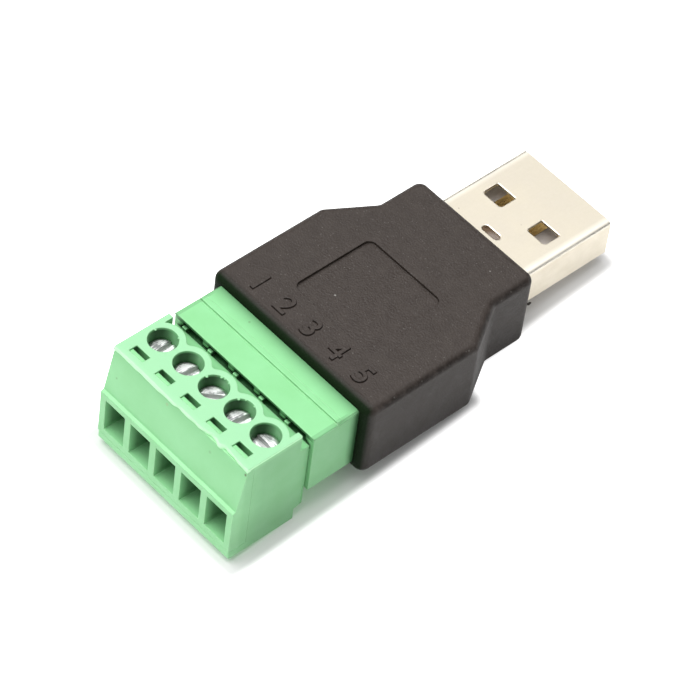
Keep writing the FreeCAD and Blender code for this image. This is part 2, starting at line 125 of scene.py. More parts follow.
def makeSpeckGroup():
    # Share of the cells hold a speck, each up to 1.35 times Size in radius
    tree, given, end = newGroup("specks", {"Vector": None, "Spacing": 0.001, "Share": 0.3,
                                           "Size": 0.00006}, "Mask")
    cells = addNode(tree, "ShaderNodeTexVoronoi", {
        "Vector": given["Vector"], "Scale": math2(tree, "DIVIDE", 1.0, given["Spacing"])}, feature="F1")
    away = math2(tree, "MULTIPLY", cells.outputs["Distance"], given["Spacing"])
    split = addNode(tree, "ShaderNodeSeparateColor", {"Color": cells.outputs["Color"]})
    chosen = math2(tree, "LESS_THAN", split.outputs["Red"], given["Share"])
    reach = math2(tree, "MULTIPLY", given["Size"], math2(tree, "ADD", split.outputs["Green"], 0.35))
    near = ramp(tree, away, math2(tree, "MULTIPLY", reach, 0.55), reach, 1.0, 0.0)
    link(tree, math2(tree, "MULTIPLY", near, chosen), end)
    return tree


def makeEdgeHighlightGroup():
    # painted highlight: marks the rounded edges by how far the Bevel normal turns from the true one, broken in
    # places
    tree, given, end = newGroup("paintedEdgeHighlight", {"Radius": 0.0001, "Break": 0.4}, "Mask")
    soft = addNode(tree, "ShaderNodeBevel", {"Radius": given["Radius"]}, samples=4)
    geometry = addNode(tree, "ShaderNodeNewGeometry")
    dot = addNode(tree, "ShaderNodeVectorMath", {0: soft.outputs["Normal"], 1: geometry.outputs["Normal"]},
                  operation="DOT_PRODUCT")
    place = addNode(tree, "ShaderNodeTexCoord").outputs["Object"]
    gaps = math2(tree, "MULTIPLY", cloud(tree, place, 1400.0, 2.0), given["Break"])
    bent = ramp(tree, dot.outputs["Value"], 0.999, 0.88)
    link(tree, math2(tree, "MULTIPLY", bent, math2(tree, "SUBTRACT", 1.0, gaps)), end)
    return tree


def makeStreakGroup():
    tree, given, end = newGroup("streaks", {"Vector": None, "Along": 120.0, "Across": 5000.0,
                                            "Turn": 0.0}, "Value")
    turn = addNode(tree, "ShaderNodeVectorRotate", {"Vector": given["Vector"], "Angle": given["Turn"]},
                   rotation_type="Z_AXIS")
    scale = addNode(tree, "ShaderNodeCombineXYZ", {
        "X": given["Along"], "Y": given["Across"], "Z": given["Across"]})
    stretch = addNode(tree, "ShaderNodeVectorMath", {0: turn.outputs["Vector"], 1: scale.outputs["Vector"]},
                      operation="MULTIPLY")
    link(tree, cloud(tree, stretch.outputs["Vector"], 1.0, 3.0, 0.6), end)
    return tree


# painted shade on the green pieces: places in mm in the part's frame; a tone is the share of the painted shade
greenShadeLook = {"wayPitch": 3.5, "outerWall": 8.7,
              "screwX": -19.75, "holeRadius": 1.56, "holeTone": (0.28, 0.90),
              "windowX": -22.5, "windowHalf": (0.52, 0.98), "windowTone": (0.25, 0.85),
              "mouthHalf": 1.38, "mouthZ": (1.55, 5.75), "mouthTone": 0.62,
              "besideX": (-12.7, -10.9), "besideTone": (0.50, 0.86), "lowTone": 0.22, "rearTone": 0.20,
              "webTone": 0.80, "deepTone": 0.99, "footTone": (0.85, 0.97), "ribTone": 0.82, "ledgeTone": 0.85}


def makeGreenShadeGroup():
    # painted shade on the green pieces; Open is 0 where pieces stand close all round: the gap at the plug gets
    # its painted shade only while it is shut
    look = greenShadeLook
    tree, given, end = newGroup("paintedGreenShade", {"Vector": None, "Open": 1.0}, "Mask")

    def fade(value, low, high, lowValue=0.0, highValue=1.0):
        return ramp(tree, value, low, high, lowValue, highValue)

    def below(value, limit):
        return math2(tree, "LESS_THAN", value, limit)

    def above(value, limit):
        return math2(tree, "GREATER_THAN", value, limit)

    def times(*values):
        return chain(tree, "MULTIPLY", *values)

    def most(*values):
        return chain(tree, "MAXIMUM", *values)

    x, y, z = (math2(tree, "DIVIDE", value, mm) for value in splitAxes(tree, given["Vector"]))
    half = look["wayPitch"] / 2
    across = addNode(tree, "ShaderNodeMath", {0: y, 1: half, 2: -half}, operation="WRAP").outputs[0]
    sideways = math2(tree, "ABSOLUTE", y)
    fromMiddle = math2(tree, "ABSOLUTE", across)  # of the way

    # driver holes: painted shade on the walls, the facing wall is told by its direction from the screw
    fromScrew = math2(tree, "SUBTRACT", x, look["screwX"])
    radius = math2(tree, "SQRT", math2(tree, "ADD", times(fromScrew, fromScrew), times(across, across)))
    facing = math2(tree, "ADD", times(fromScrew, 0.42), times(across, 0.86))
    hole = times(fade(facing, 0.75, 1.35, *look["holeTone"]), fade(z, 11.6, 11.3),
                 below(radius, look["holeRadius"]), above(z, 9.0), below(sideways, look["outerWall"]))
    # latch windows: painted shade, darkest at their far end
    fromWindow = math2(tree, "ABSOLUTE", math2(tree, "SUBTRACT", x, look["windowX"]))
    halfX, halfY = look["windowHalf"]
    window = times(below(fromWindow, halfX), below(fromMiddle, halfY), fade(z, 11.56, 11.44),
                   fade(across, -0.9, 0.8, *look["windowTone"]), fade(x, -22.48, -22.40))
    # wire mouths: painted shade, darker on the walls than on the floor
    mouthLow, mouthHigh = look["mouthZ"]
    mouth = times(below(fromMiddle, look["mouthHalf"]), below(z, mouthHigh), above(z, mouthLow),
                  below(x, -17.5), fade(x, -24.93, -24.0, 0.0, look["mouthTone"]),
                  fade(z, 1.62, 2.3, 0.35, 1.0))
    # header beside the body, on its outside: painted shade
    close = fade(x, *look["besideX"])
    outside = most(above(sideways, 9.3), above(z, 10.4), below(z, 3.62))
    beside = times(close, close, fade(sideways, 9.42, 9.49, *look["besideTone"]), outside)
    # sides of the terminal: painted shade, darker low down and to the rear
    slopes = math2(tree, "ADD", fade(z, 5.6, 1.4, 0.0, look["lowTone"]),
                   fade(x, -24.3, -21.5, 0.0, look["rearTone"]))
    low = times(slopes, above(sideways, 9.05), fade(z, 11.3, 10.9))
    # gap between the plug and the header: painted shade, black inside the keyways
    # the header's webs stand higher than the plug's ribs, and get the painted shade sooner
    shut = fade(given["Open"], 0.58, 0.40)
    webShut = times(fade(given["Open"], 0.85, 0.62), above(z, 10.08))
    web = times(most(fade(x, -16.19, -16.15, 0.0, look["webTone"]),
                     fade(x, -16.06, -15.95, 0.0, look["deepTone"])), most(shut, webShut))
    foot = times(below(z, 9.7), fade(fromMiddle, 1.45, 1.32, *look["footTone"]), fade(x, -16.30, -16.22))
    rib = times(below(z, 10.05), fade(x, -16.5, -16.3, 0.0, look["ribTone"]))
    inGap = times(fade(z, 10.61, 10.50), above(z, 9.0), below(x, -14.0), below(sideways, 9.33))
    gap = times(inGap, most(web, times(most(foot, rib), shut)))
    # ledge of the plug in front of each keyway: painted shade
    ledge = times(fade(x, -16.62, -16.42, 0.0, look["ledgeTone"]), below(x, -16.15), below(z, 9.62),
                  above(z, 9.40), fade(fromMiddle, 1.42, 1.28, 0.35, 1.0),
                  below(sideways, look["outerWall"]), fade(given["Open"], 0.55, 0.35))
    link(tree, most(hole, window, mouth, beside, low, gap, ledge), end)
    return tree


grainGroup = makeGrainGroup()
speckGroup = makeSpeckGroup()
edgeHighlightGroup = makeEdgeHighlightGroup()
streakGroup = makeStreakGroup()
greenShadeGroup = makeGreenShadeGroup()


def newMaterial(name, roughness, metallic=0.0, specular=0.5):
    material = bpy.data.materials.new(name)
    material.use_nodes = True
    tree = material.node_tree
    shader = tree.nodes["Principled BSDF"].inputs
    shader["Roughness"].default_value = roughness
    shader["Metallic"].default_value = metallic
    shader["Specular IOR Level"].default_value = specular
    place = addNode(tree, "ShaderNodeTexCoord").outputs["Object"]
    return material, tree, shader, place


def addBump(tree, shader, height, strength, depth):
    bump = addNode(tree, "ShaderNodeBump", {"Height": height, "Strength": strength, "Distance": depth})
    link(tree, bump.outputs["Normal"], shader["Normal"])


# Materials

# places in these are in m in the part's frame, bump is strength and depth

blackLook = {"color": (0.020, 0.012, 0.008), "light": (0.030, 0.021, 0.016), "roughness": 0.50,
             "patchScale": 900.0, "grain": {"Size": 0.00020, "Waviness": 0.6}, "bump": (0.6, 0.00010),
             # dust is the colour of the specks; the next two colours and the places after them give painted
             # shade on the rear face (tinted green), the lower sides and the rounded rims
             "dust": (0.30, 0.29, 0.27), "paintedShade": (0.008, 0.007, 0.006), "rearDim": (0.006, 0.014, 0.005),
             "rimDim": 0.60, "rearX": (-0.00970, -0.01038), "cornerY": (0.01065, 0.01035),
             "lowZ": (0.0075, 0.0028), "sideY": 0.0077, "sideTopZ": (0.0112, 0.0106),
             "dustSpecks": {"Spacing": 0.0019, "Share": 0.30, "Size": 0.00010}, "dustTone": 0.6,
             "fineSpecks": {"Spacing": 0.00030, "Share": 0.40, "Size": 0.000065}, "fineTone": 0.16,
             "wornSpecks": {"Spacing": 0.00042, "Share": 0.45, "Size": 0.00009}, "wornTone": 0.55}


def makeBlackPlastic(name, slopeShade=False):
    look = blackLook
    material, tree, shader, place = newMaterial(name, look["roughness"])

    def times(*values):
        return chain(tree, "MULTIPLY", *values)

    def most(*values):
        return chain(tree, "MAXIMUM", *values)

    def specks(name):
        return useGroup(tree, speckGroup, {"Vector": place, **look[name]})

    patch = cloud(tree, place, look["patchScale"], 4.0, 0.65)
    base = mixColor(tree, ramp(tree, patch, 0.35, 0.7), look["color"], look["light"])
    x, y, z = splitAxes(tree, place)
    sideways = math2(tree, "ABSOLUTE", y)
    # painted shade: the rear face, lower sides and rounded rims are darker
    rear = times(ramp(tree, x, *look["rearX"]), ramp(tree, sideways, *look["cornerY"], 0.55, 1.0))
    low = times(ramp(tree, z, *look["lowZ"], 0.25, 0.65), ramp(tree, z, *look["sideTopZ"]),
                math2(tree, "GREATER_THAN", sideways, look["sideY"]))
    up = splitAxes(tree, addNode(tree, "ShaderNodeTexCoord").outputs["Normal"])[2]
    rim = times(ramp(tree, up, 0.10, 0.35), ramp(tree, up, 0.93, 0.70, 0.0, look["rimDim"]))
    paintedShade = most(rear, low, times(rim, ramp(tree, patch, 0.70, 0.45)))
    # painted shade on the flanks of the raised numbers
    if slopeShade:
        flat = splitAxes(tree, addNode(tree, "ShaderNodeNewGeometry").outputs["True Normal"])[2]
        paintedShade = most(paintedShade, ramp(tree, flat, 0.97, 0.80))
    dust = most(times(specks("dustSpecks"), look["dustTone"]), times(specks("fineSpecks"), look["fineTone"]),
                times(rim, specks("wornSpecks"), look["wornTone"]))
    shade = mixColor(tree, rear, look["paintedShade"], look["rearDim"])
    link(tree, mixColor(tree, paintedShade, mixColor(tree, dust, base, look["dust"]), shade), shader["Base Color"])
    link(tree, ramp(tree, paintedShade, 0.0, 1.0, 0.5, 0.05), shader["Specular IOR Level"])
    link(tree, ramp(tree, patch, 0.3, 0.75, look["roughness"] - 0.05, look["roughness"] + 0.08),
         shader["Roughness"])
    grain = useGroup(tree, grainGroup, {"Vector": place, **look["grain"]})
    addBump(tree, shader, grain, *look["bump"])
    return material


# painted shadow: a dark flat sheet round the foot of each number
def makeFootShadowPaint(name):
    material, tree, shader, place = newMaterial(name, 0.6, specular=0.04)
    patch = ramp(tree, cloud(tree, place, 2500.0, 3.0), 0.35, 0.7)
    link(tree, mixColor(tree, patch, blackLook["paintedShade"], blackLook["color"]), shader["Base Color"])
    return material


# edge is the colour of the painted highlight along the edges
greenLook = {"color": (0.230, 0.570, 0.265), "deep": (0.205, 0.530, 0.230), "edge": (0.50, 0.82, 0.50),
             "roughness": 0.42, "patchScale": 320.0, "grain": {"Size": 0.00022, "Waviness": 2.0},
             "bump": (0.5, 0.000008), "speck": (0.30, 0.40, 0.20), "shade": (0.004, 0.030, 0.006),
             # painted light: plate is the paler top face
             "plate": (0.285, 0.585, 0.325), "plateZ": (0.01158, 0.01164),
             # painted highlight: pale strip below the edge of the top plate, at the front and at the sides
             "rim": (0.47, 0.86, 0.50), "stripX": (-0.02325, -0.02345), "stripFrontZ": (0.01118, 0.01124),
             "stripY": (0.00898, 0.00906), "stripSideZ": (0.01138, 0.01148), "stripTopZ": (0.01164, 0.01160),
             # painted light: paler towards the front
             "frontX": (-0.0236, -0.0240), "frontTone": 0.10,
             # painted highlight along the edges: its reach and how strong
             "edges": {"Radius": 0.00010, "Break": 0.5}, "edgeHighlightTone": 0.55,
             "dirtSpecks": {"Spacing": 0.0017, "Share": 0.22, "Size": 0.00016}, "dirtTone": 0.5,
             "hideReach": 0.002,  # how near other pieces have to be to count as closed
             # dirt marks: place and radius in mm, strength
             "mark": (0.09, 0.13, 0.05),
             "marks": (((-23.72, -8.89, 10.85), 0.16, 0.9), ((-24.15, 7.94, 8.57), 0.14, 0.35),
                       ((-23.90, -4.44, 9.88), 0.20, 0.22), ((-11.56, 4.47, 10.7), 0.15, 0.4))}


def makeGreenPlastic(name):
    look = greenLook
    material, tree, shader, place = newMaterial(name, look["roughness"])
    patch = cloud(tree, place, look["patchScale"], 5.0, 0.55)
    color = mixColor(tree, ramp(tree, patch, 0.3, 0.7), look["color"], look["deep"])
    x, y, z = splitAxes(tree, place)
    # painted light: the top face of the plate is paler, with a pale strip below its edge and the front paler
    color = mixColor(tree, ramp(tree, z, *look["plateZ"]), color, look["plate"])
    front = math2(tree, "MULTIPLY", ramp(tree, x, *look["stripX"]), ramp(tree, z, *look["stripFrontZ"]))
    side = math2(tree, "MULTIPLY", ramp(tree, math2(tree, "ABSOLUTE", y), *look["stripY"]),
                 ramp(tree, z, *look["stripSideZ"]))
    paintedRimLight = math2(tree, "MULTIPLY", math2(tree, "MAXIMUM", front, side), ramp(tree, z, *look["stripTopZ"]))
    color = mixColor(tree, paintedRimLight, color, look["rim"])
    color = mixColor(tree, ramp(tree, x, *look["frontX"], 0.0, look["frontTone"]), color, look["rim"])
    # painted highlight along the edges
    edge = useGroup(tree, edgeHighlightGroup, look["edges"])
    color = mixColor(tree, math2(tree, "MULTIPLY", edge, look["edgeHighlightTone"]), color, look["edge"])
    dirt = useGroup(tree, speckGroup, {"Vector": place, **look["dirtSpecks"]})
    color = mixColor(tree, math2(tree, "MULTIPLY", dirt, look["dirtTone"]), color, look["speck"])
    for spot, radius, strength in look["marks"]:
        away = addNode(tree, "ShaderNodeVectorMath", {0: place, 1: Vector(spot) * mm},
                       operation="DISTANCE")
        mark = ramp(tree, away.outputs["Value"], radius * mm, radius * 0.5 * mm, 0.0, strength)
        color = mixColor(tree, mark, color, look["mark"])
    # painted shade: the dark places of the green pieces, the one in the gap only where other pieces stand
    # close
    around = addNode(tree, "ShaderNodeAmbientOcclusion", {"Distance": look["hideReach"]}, samples=16)
    greenShadeMask = useGroup(tree, greenShadeGroup, {"Vector": place, "Open": around.outputs["AO"]})
    link(tree, mixColor(tree, greenShadeMask, color, look["shade"]), shader["Base Color"])
    link(tree, ramp(tree, greenShadeMask, 0.0, 1.0, 0.5, 0.12), shader["Specular IOR Level"])
    link(tree, ramp(tree, patch, 0.3, 0.7, look["roughness"] - 0.04, look["roughness"] + 0.06),
         shader["Roughness"])
    grain = useGroup(tree, grainGroup, {"Vector": place, **look["grain"]})
    addBump(tree, shader, grain, *look["bump"])
    return material


# edge is the colour of the painted highlight on the upper bends
steelLook = {"color": (0.83, 0.765, 0.64), "dull": (0.76, 0.70, 0.575), "edge": (0.97, 0.92, 0.81),
             "roughness": 0.36, "patchScale": 480.0, "streaks": {"Along": 150.0, "Across": 4200.0},
             "patchShare": 0.85, "bump": (0.18, 0.00001), "bendY": (0.0050, 0.0055), "bendZ": (0.0089, 0.0091),
             "pit": (0.35, 0.30, 0.24), "pitTone": 0.5,
             "pits": {"Spacing": 0.0016, "Share": 0.25, "Size": 0.00012}}


def blendStreaks(tree, patch, lines, patchShare):
    return math2(tree, "ADD", math2(tree, "MULTIPLY", patch, patchShare),
                 math2(tree, "MULTIPLY", lines, 1 - patchShare))


def makeSteel(name):
    look = steelLook
    material, tree, shader, place = newMaterial(name, look["roughness"], metallic=1.0)
    lines = useGroup(tree, streakGroup, {"Vector": place, **look["streaks"]})
    blend = blendStreaks(tree, cloud(tree, place, look["patchScale"], 6.0, 0.7), lines, look["patchShare"])
    base = mixColor(tree, ramp(tree, blend, 0.36, 0.66), look["color"], look["dull"])
    x, y, z = splitAxes(tree, place)
    # painted highlight: the long upper bends are lighter
    paintedBendHighlight = math2(tree, "MULTIPLY", ramp(tree, math2(tree, "ABSOLUTE", y), *look["bendY"]),
                 ramp(tree, z, *look["bendZ"]))
    base = mixColor(tree, paintedBendHighlight, base, look["edge"])
    pits = useGroup(tree, speckGroup, {"Vector": place, **look["pits"]})
    link(tree, mixColor(tree, math2(tree, "MULTIPLY", pits, look["pitTone"]), base, look["pit"]),
         shader["Base Color"])
    link(tree, ramp(tree, blend, 0.35, 0.65, look["roughness"] - 0.05, look["roughness"] + 0.10),
         shader["Roughness"])
    addBump(tree, shader, blend, *look["bump"])
    return material


# slot is the colour of the painted shade inside the slot
zincLook = {"color": (0.98, 0.98, 0.98), "dark": (0.30, 0.31, 0.31), "slot": (0.60, 0.61, 0.60),
            "roughness": (0.40, 0.60), "patchScale": 1500.0, "streaks": {"Along": 700.0, "Across": 7000.0},
            "patchShare": 0.45, "bump": (0.3, 0.00001), "slotZ": (0.01033, 0.01018)}


def makeZinc(name, turn):
    look = zincLook
    material, tree, shader, place = newMaterial(name, look["roughness"][0], metallic=1.0)
    lines = useGroup(tree, streakGroup, {"Vector": place, "Turn": turn, **look["streaks"]})
    blend = blendStreaks(tree, cloud(tree, place, look["patchScale"], 3.0), lines, look["patchShare"])
    streaky = mixColor(tree, ramp(tree, blend, 0.47, 0.57), look["color"], look["dark"])
    # painted shade inside the slot
    slotShade = ramp(tree, splitAxes(tree, place)[2], *look["slotZ"])
    link(tree, mixColor(tree, slotShade, streaky, look["slot"]), shader["Base Color"])
    link(tree, ramp(tree, lines, 0.35, 0.65, *look["roughness"]), shader["Roughness"])
    addBump(tree, shader, lines, *look["bump"])
    return material


metalLook = {"streaks": {"Along": 300.0, "Across": 5000.0}, "bump": (0.3, 0.00001),
             "contactGold": {"color": (0.83, 0.62, 0.28), "dull": (0.70, 0.50, 0.21), "roughness": 0.28},
             "pinTin": {"color": (0.74, 0.73, 0.70), "dull": (0.60, 0.59, 0.56), "roughness": 0.34},
             "cageNickel": {"color": (0.68, 0.66, 0.62), "dull": (0.54, 0.52, 0.49), "roughness": 0.36}}


def makePlainMetal(name):
    look = metalLook[name]
    material, tree, shader, place = newMaterial(name, look["roughness"], metallic=1.0)
    lines = useGroup(tree, streakGroup, {"Vector": place, **metalLook["streaks"]})
    link(tree, mixColor(tree, ramp(tree, lines, 0.35, 0.65), look["color"], look["dull"]),
         shader["Base Color"])
    link(tree, ramp(tree, lines, 0.3, 0.7, look["roughness"] - 0.06, look["roughness"] + 0.08),
         shader["Roughness"])
    addBump(tree, shader, lines, *metalLook["bump"])
    return material


# rear is the colour of the painted shade deep inside the shell
insulatorLook = {"color": (0.55, 0.51, 0.48), "deep": (0.47, 0.43, 0.41), "rear": (0.10, 0.065, 0.04),
                 "roughness": 0.45, "patchScale": 700.0, "grain": {"Size": 0.0002, "Waviness": 0.5},
                 "bump": (0.4, 0.00001), "rearX": (0.0156, 0.0152), "rearY": (-0.0003, 0.0004)}


def makeInsulator(name):
    look = insulatorLook
    material, tree, shader, place = newMaterial(name, look["roughness"])
    patch = ramp(tree, cloud(tree, place, look["patchScale"], 4.0), 0.3, 0.7)
    pale = mixColor(tree, patch, look["color"], look["deep"])
    x, y, z = splitAxes(tree, place)
    # painted shade: deep inside the shell it is dark
    rear = math2(tree, "MULTIPLY", ramp(tree, x, *look["rearX"]), ramp(tree, y, *look["rearY"], 0.75, 1.0))
    link(tree, mixColor(tree, rear, pale, look["rear"]), shader["Base Color"])
    link(tree, ramp(tree, rear, 0.0, 1.0, 0.5, 0.1), shader["Specular IOR Level"])
    grain = useGroup(tree, grainGroup, {"Vector": place, **look["grain"]})
    addBump(tree, shader, grain, *look["bump"])
    return material


laminateLook = {"color": (0.035, 0.17, 0.055), "light": (0.06, 0.23, 0.08), "roughness": 0.35,
                "weave": 900.0, "bump": (0.2, 0.00001)}


def makeLaminate(name):
    look = laminateLook
    material, tree, shader, place = newMaterial(name, look["roughness"])
    weave = addNode(tree, "ShaderNodeTexWave", {"Vector": place, "Scale": look["weave"], "Distortion": 1.0,
                                                "Detail": 1.0}).outputs["Fac"]
    link(tree, mixColor(tree, weave, look["color"], look["light"]), shader["Base Color"])
    addBump(tree, shader, weave, *look["bump"])
    return material


blackPlastic = makeBlackPlastic("blackPlastic")
numberPlastic = makeBlackPlastic("numberPlastic", slopeShade=True)
footShadowPaint = makeFootShadowPaint("footShadowPaint")
greenPlastic = makeGreenPlastic("greenPlastic")
shellSteel = makeSteel("shellSteel")
contactGold = makePlainMetal("contactGold")
pinTin = makePlainMetal("pinTin")
cageNickel = makePlainMetal("cageNickel")
insulator = makeInsulator("insulator")
laminate = makeLaminate("laminate")
print("materials made")


# Making a finished piece from a solid

# reaches in mm, angles in degrees; a folded face has triangles that cover more than its area
meshLook = {"weld": 0.0008, "flatAngle": 0.4, "sharpAngle": 28, "foldedShare": 1.003,
            "mendReach": (0.015, 0.025, 0.04, 0.06, 0.09)}


def weldedCopy(nodeName, flatLimit=0.9):
    # the mesh of a solid is loose triangles: weld them and join what lies flat
    # faces turned further up or down than flatLimit stay whole
    mesh = bmesh.new()
    mesh.from_mesh(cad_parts[nodeName].data)
    bmesh.ops.remove_doubles(mesh, verts=mesh.verts, dist=meshLook["weld"] * mm)
    bmesh.ops.dissolve_limit(mesh, angle_limit=math.radians(meshLook["flatAngle"]),
                             use_dissolve_boundaries=False, verts=mesh.verts, edges=mesh.edges)
    bmesh.ops.connect_verts_concave(mesh, faces=[face for face in mesh.faces if len(face.verts) > 8
                                                 and abs(face.normal.z) < flatLimit])
    return mesh


def settle(piece):
    # the evaluated mesh takes the place of the modifiers
    bpy.context.view_layer.update()
    graph = bpy.context.evaluated_depsgraph_get()
    made = bpy.data.meshes.new_from_object(piece.evaluated_get(graph), preserve_all_data_layers=True,
                                           depsgraph=graph)
    piece.modifiers.clear()
    old = piece.data
    piece.data = made
    bpy.data.meshes.remove(old)
    made.name = piece.name
    return piece


def newPiece(data, name, material):
    data.name = name
    data.materials.clear()
    data.materials.append(material)
    piece = bpy.data.objects.new(name, data)
    bpy.context.scene.collection.objects.link(piece)
    return piece


def pieceFromMesh(mesh, name, material):
    data = bpy.data.meshes.new(name)
    mesh.to_mesh(data)
    mesh.free()
    for layer in ("custom_normal", "sharp_face", "sharp_edge"):
        if layer in data.attributes:
            data.attributes.remove(data.attributes[layer])
    data.shade_smooth()
    return newPiece(data, name, material)


def foldedFaces(mesh):
    drawn = {}
    for corners in mesh.calc_loop_triangles():
        a, b, c = (corner.vert.co for corner in corners)
        face = corners[0].face
        drawn[face] = drawn.get(face, 0.0) + (b - a).cross(c - a).length / 2
    return [face for face, area in drawn.items()
            if len(face.verts) > 4 and area > face.calc_area() * meshLook["foldedShare"]]


def mendFaces(piece):
    # rounding can leave a folded corner in a long face: the points there are welded
    for reach in meshLook["mendReach"]:
        mesh = bmesh.new()
        mesh.from_mesh(piece.data)
        folded = foldedFaces(mesh)
        if folded:
            points = sorted({v for face in folded for v in face.verts}, key=lambda v: v.index)
            bmesh.ops.remove_doubles(mesh, verts=points, dist=reach * mm)
            bmesh.ops.dissolve_degenerate(mesh, edges=mesh.edges, dist=0.0005 * mm)
            mesh.to_mesh(piece.data)
        mesh.free()
        if not folded:
            return
    print("  still folded:", piece.name)


def roundEdges(mesh, name, material, width, share=None, segments=2):
    # share gives the part of the width for an edge, by its middle in mm
    weight = mesh.edges.layers.float.new("bevel_weight_edge")
    for edge in mesh.edges:
        if len(edge.link_faces) == 2 and edge.calc_face_angle(0.0) > math.radians(meshLook["sharpAngle"]):
            middle = (edge.verts[0].co + edge.verts[1].co) / 2 / mm
            edge[weight] = share(middle) if share else 1.0
    piece = pieceFromMesh(mesh, name, material)
    bevel = piece.modifiers.new("edges", "BEVEL")
    bevel.limit_method = "WEIGHT"
    bevel.width = width * mm
    bevel.segments = segments
    bevel.use_clamp_overlap = False
    bevel.harden_normals = False
    bevel.miter_outer = "MITER_SHARP"
    settle(piece)
    mendFaces(piece)
    even = piece.modifiers.new("normals", "WEIGHTED_NORMAL")
    even.mode = "FACE_AREA"
    even.weight = 80
    even.keep_sharp = True
    return settle(piece)


def register(piece, body, nodes):
    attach(piece, body)
    if nodes:
        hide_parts(*nodes)


def makePiece(nodeName, name, material, width, body):
    piece = roundEdges(weldedCopy(nodeName), name, material, width)
    register(piece, body, [nodeName])


def addLump(mesh, subdivisions, ripple, swell, seed, half):
    # a ball with an uneven skin, half its size in mm
    points = bmesh.ops.create_icosphere(mesh, subdivisions=subdivisions, radius=1.0)["verts"]
    for v in points:
        lump = 1.0 + swell * noise.noise(v.co * ripple + Vector(seed))
        v.co = Vector((v.co.x * half[0], v.co.y * half[1], v.co.z * half[2])) * lump
    return points


# Moulded body

bodyLook = {"rimRound": 0.05, "top": 11.55,
            "numberHeight": 2.3, "numberX": -9.15, "capHeight": 0.73,  # of a digit, for a font size of 1
            # outline grown by, half height, slope of the flanks, shift from the way's middle
            "number": {"grow": 0.0, "rise": 0.03, "slope": 0.065, "shift": (0.0, 0.0)},
            # the painted shadow round each number's foot, as a dark sheet
            "numberFootShadow": {"grow": 0.085, "rise": 0.004, "slope": 0.0, "shift": (-0.06, -0.05)},
            "nubSpot": (12.74, -7.68, 7.6), "nubHalf": (0.24, 0.14, 0.15)}


def makeNumbers(name, material):
    # the raised numbers, or the painted shadow: a dark line round the foot of each
    look = bodyLook[name]
    for i, y in enumerate(wayY):
        curve = bpy.data.curves.new(name, "FONT")
        curve.body = str(i + 1)
        curve.size = bodyLook["numberHeight"] * mm / bodyLook["capHeight"]
        curve.align_x = "CENTER"
        curve.offset = look["grow"] * mm
        curve.extrude = look["rise"] * mm
        curve.bevel_depth = look["slope"] * mm
        curve.bevel_resolution = 1
        curve.resolution_u = 8
        text = bpy.data.objects.new(name, curve)
        bpy.context.scene.collection.objects.link(text)
        bpy.context.view_layer.update()
        data = bpy.data.meshes.new_from_object(text.evaluated_get(bpy.context.evaluated_depsgraph_get()))
        bpy.data.objects.remove(text)
        shiftX, shiftY = look["shift"]
        spot = Vector((bodyLook["numberX"] + shiftX, y + shiftY, bodyLook["top"])) * mm
        data.transform(Matrix.Translation(spot) @ Matrix.Rotation(-math.pi / 2, 4, "Z"))
        piece = newPiece(data, "%s%d" % (name, i + 1), material)
        register(piece, "adapter", [])


def makeFlashNub():
    # a crumb of flash left on the corner of the nose
    mesh = bmesh.new()
    for v in addLump(mesh, 3, 1.7, 0.35, (3.1, 0.4, 7.7), bodyLook["nubHalf"]):
        v.co = (Vector(bodyLook["nubSpot"]) + v.co) * mm
    piece = pieceFromMesh(mesh, "flashNub", blackPlastic)
    register(piece, "adapter", [])


makePiece("overmould", "mouldedBody", blackPlastic, bodyLook["rimRound"], "adapter")
makeNumbers("number", numberPlastic)
# painted shadow round the numbers
makeNumbers("numberFootShadow", footShadowPaint)
makeFlashNub()
print("moulded body made")


# Header

headerLook = {"edgeRound": 0.07}

makePiece("header_housing", "headerShroud", greenPlastic, headerLook["edgeRound"], "adapter")
print("header made")


# Screw terminal

plugLook = {"edgeRound": 0.06, "screwX": -19.75, "rimRadius": 1.44, "rimZ": 11.555,
            # crumbs of flash: way, angle round the hole, half width in mm
            "rimFlash": ((3, 76, 0.17), (3, 20, 0.15), (3, 6, 0.10), (3, 342, 0.09), (4, 53, 0.14),
                         (4, 27, 0.08), (4, 344, 0.09), (1, 79, 0.12), (1, 332, 0.09)),
            # the plate's front edge: its place, where it is cut behind, its foot, its middle and thickness
            "frontX": -23.65, "cutX": -23.2, "plateZ": 11.2, "midZ": 11.42, "plateThick": 0.45,
            "halfWidth": 9.1, "cuts": 96, "bulge": 0.07,
            # how far the top and the foot of that edge stand in (+) or out (-), by y in mm
            "plateTop": ((9.1, 0.0), (7.0, 0.06), (5.4, 0.05), (4.0, 0.02), (2.3, -0.04), (0.6, -0.10),
                         (-0.2, 0.04), (-1.4, 0.0), (-2.5, -0.04), (-3.5, 0.10), (-4.1, 0.34), (-4.7, 0.24),
                         (-5.2, 0.05), (-5.7, 0.28), (-6.4, 0.22), (-7.5, 0.06), (-8.4, 0.03), (-9.1, 0.0)),
            "plateFoot": ((9.1, -0.12), (8.0, -0.06), (7.0, -0.10), (6.0, -0.13), (5.3, -0.08), (4.5, -0.14),
                          (3.6, -0.17), (3.1, -0.19), (2.1, -0.11), (0.9, -0.15), (0.2, 0.03), (-0.4, -0.05),
                          (-0.9, -0.09), (-1.9, 0.0), (-2.6, -0.06), (-3.3, 0.06), (-4.0, 0.20), (-4.6, 0.12),
                          (-5.2, -0.13), (-5.5, -0.12), (-5.8, 0.26), (-6.2, 0.15), (-7.0, 0.18), (-7.9, 0.0),
                          (-8.4, -0.02), (-9.1, -0.06))}


def along(points, y):
    # value at y between the points, without corners
    points = sorted(points)
    if y <= points[0][0]:
        return points[0][1]
    for (y0, v0), (y1, v1) in zip(points, points[1:]):
        if y <= y1:
            t = (y - y0) / (y1 - y0)
            return v0 + (v1 - v0) * t * t * (3 - 2 * t)
    return points[-1][1]


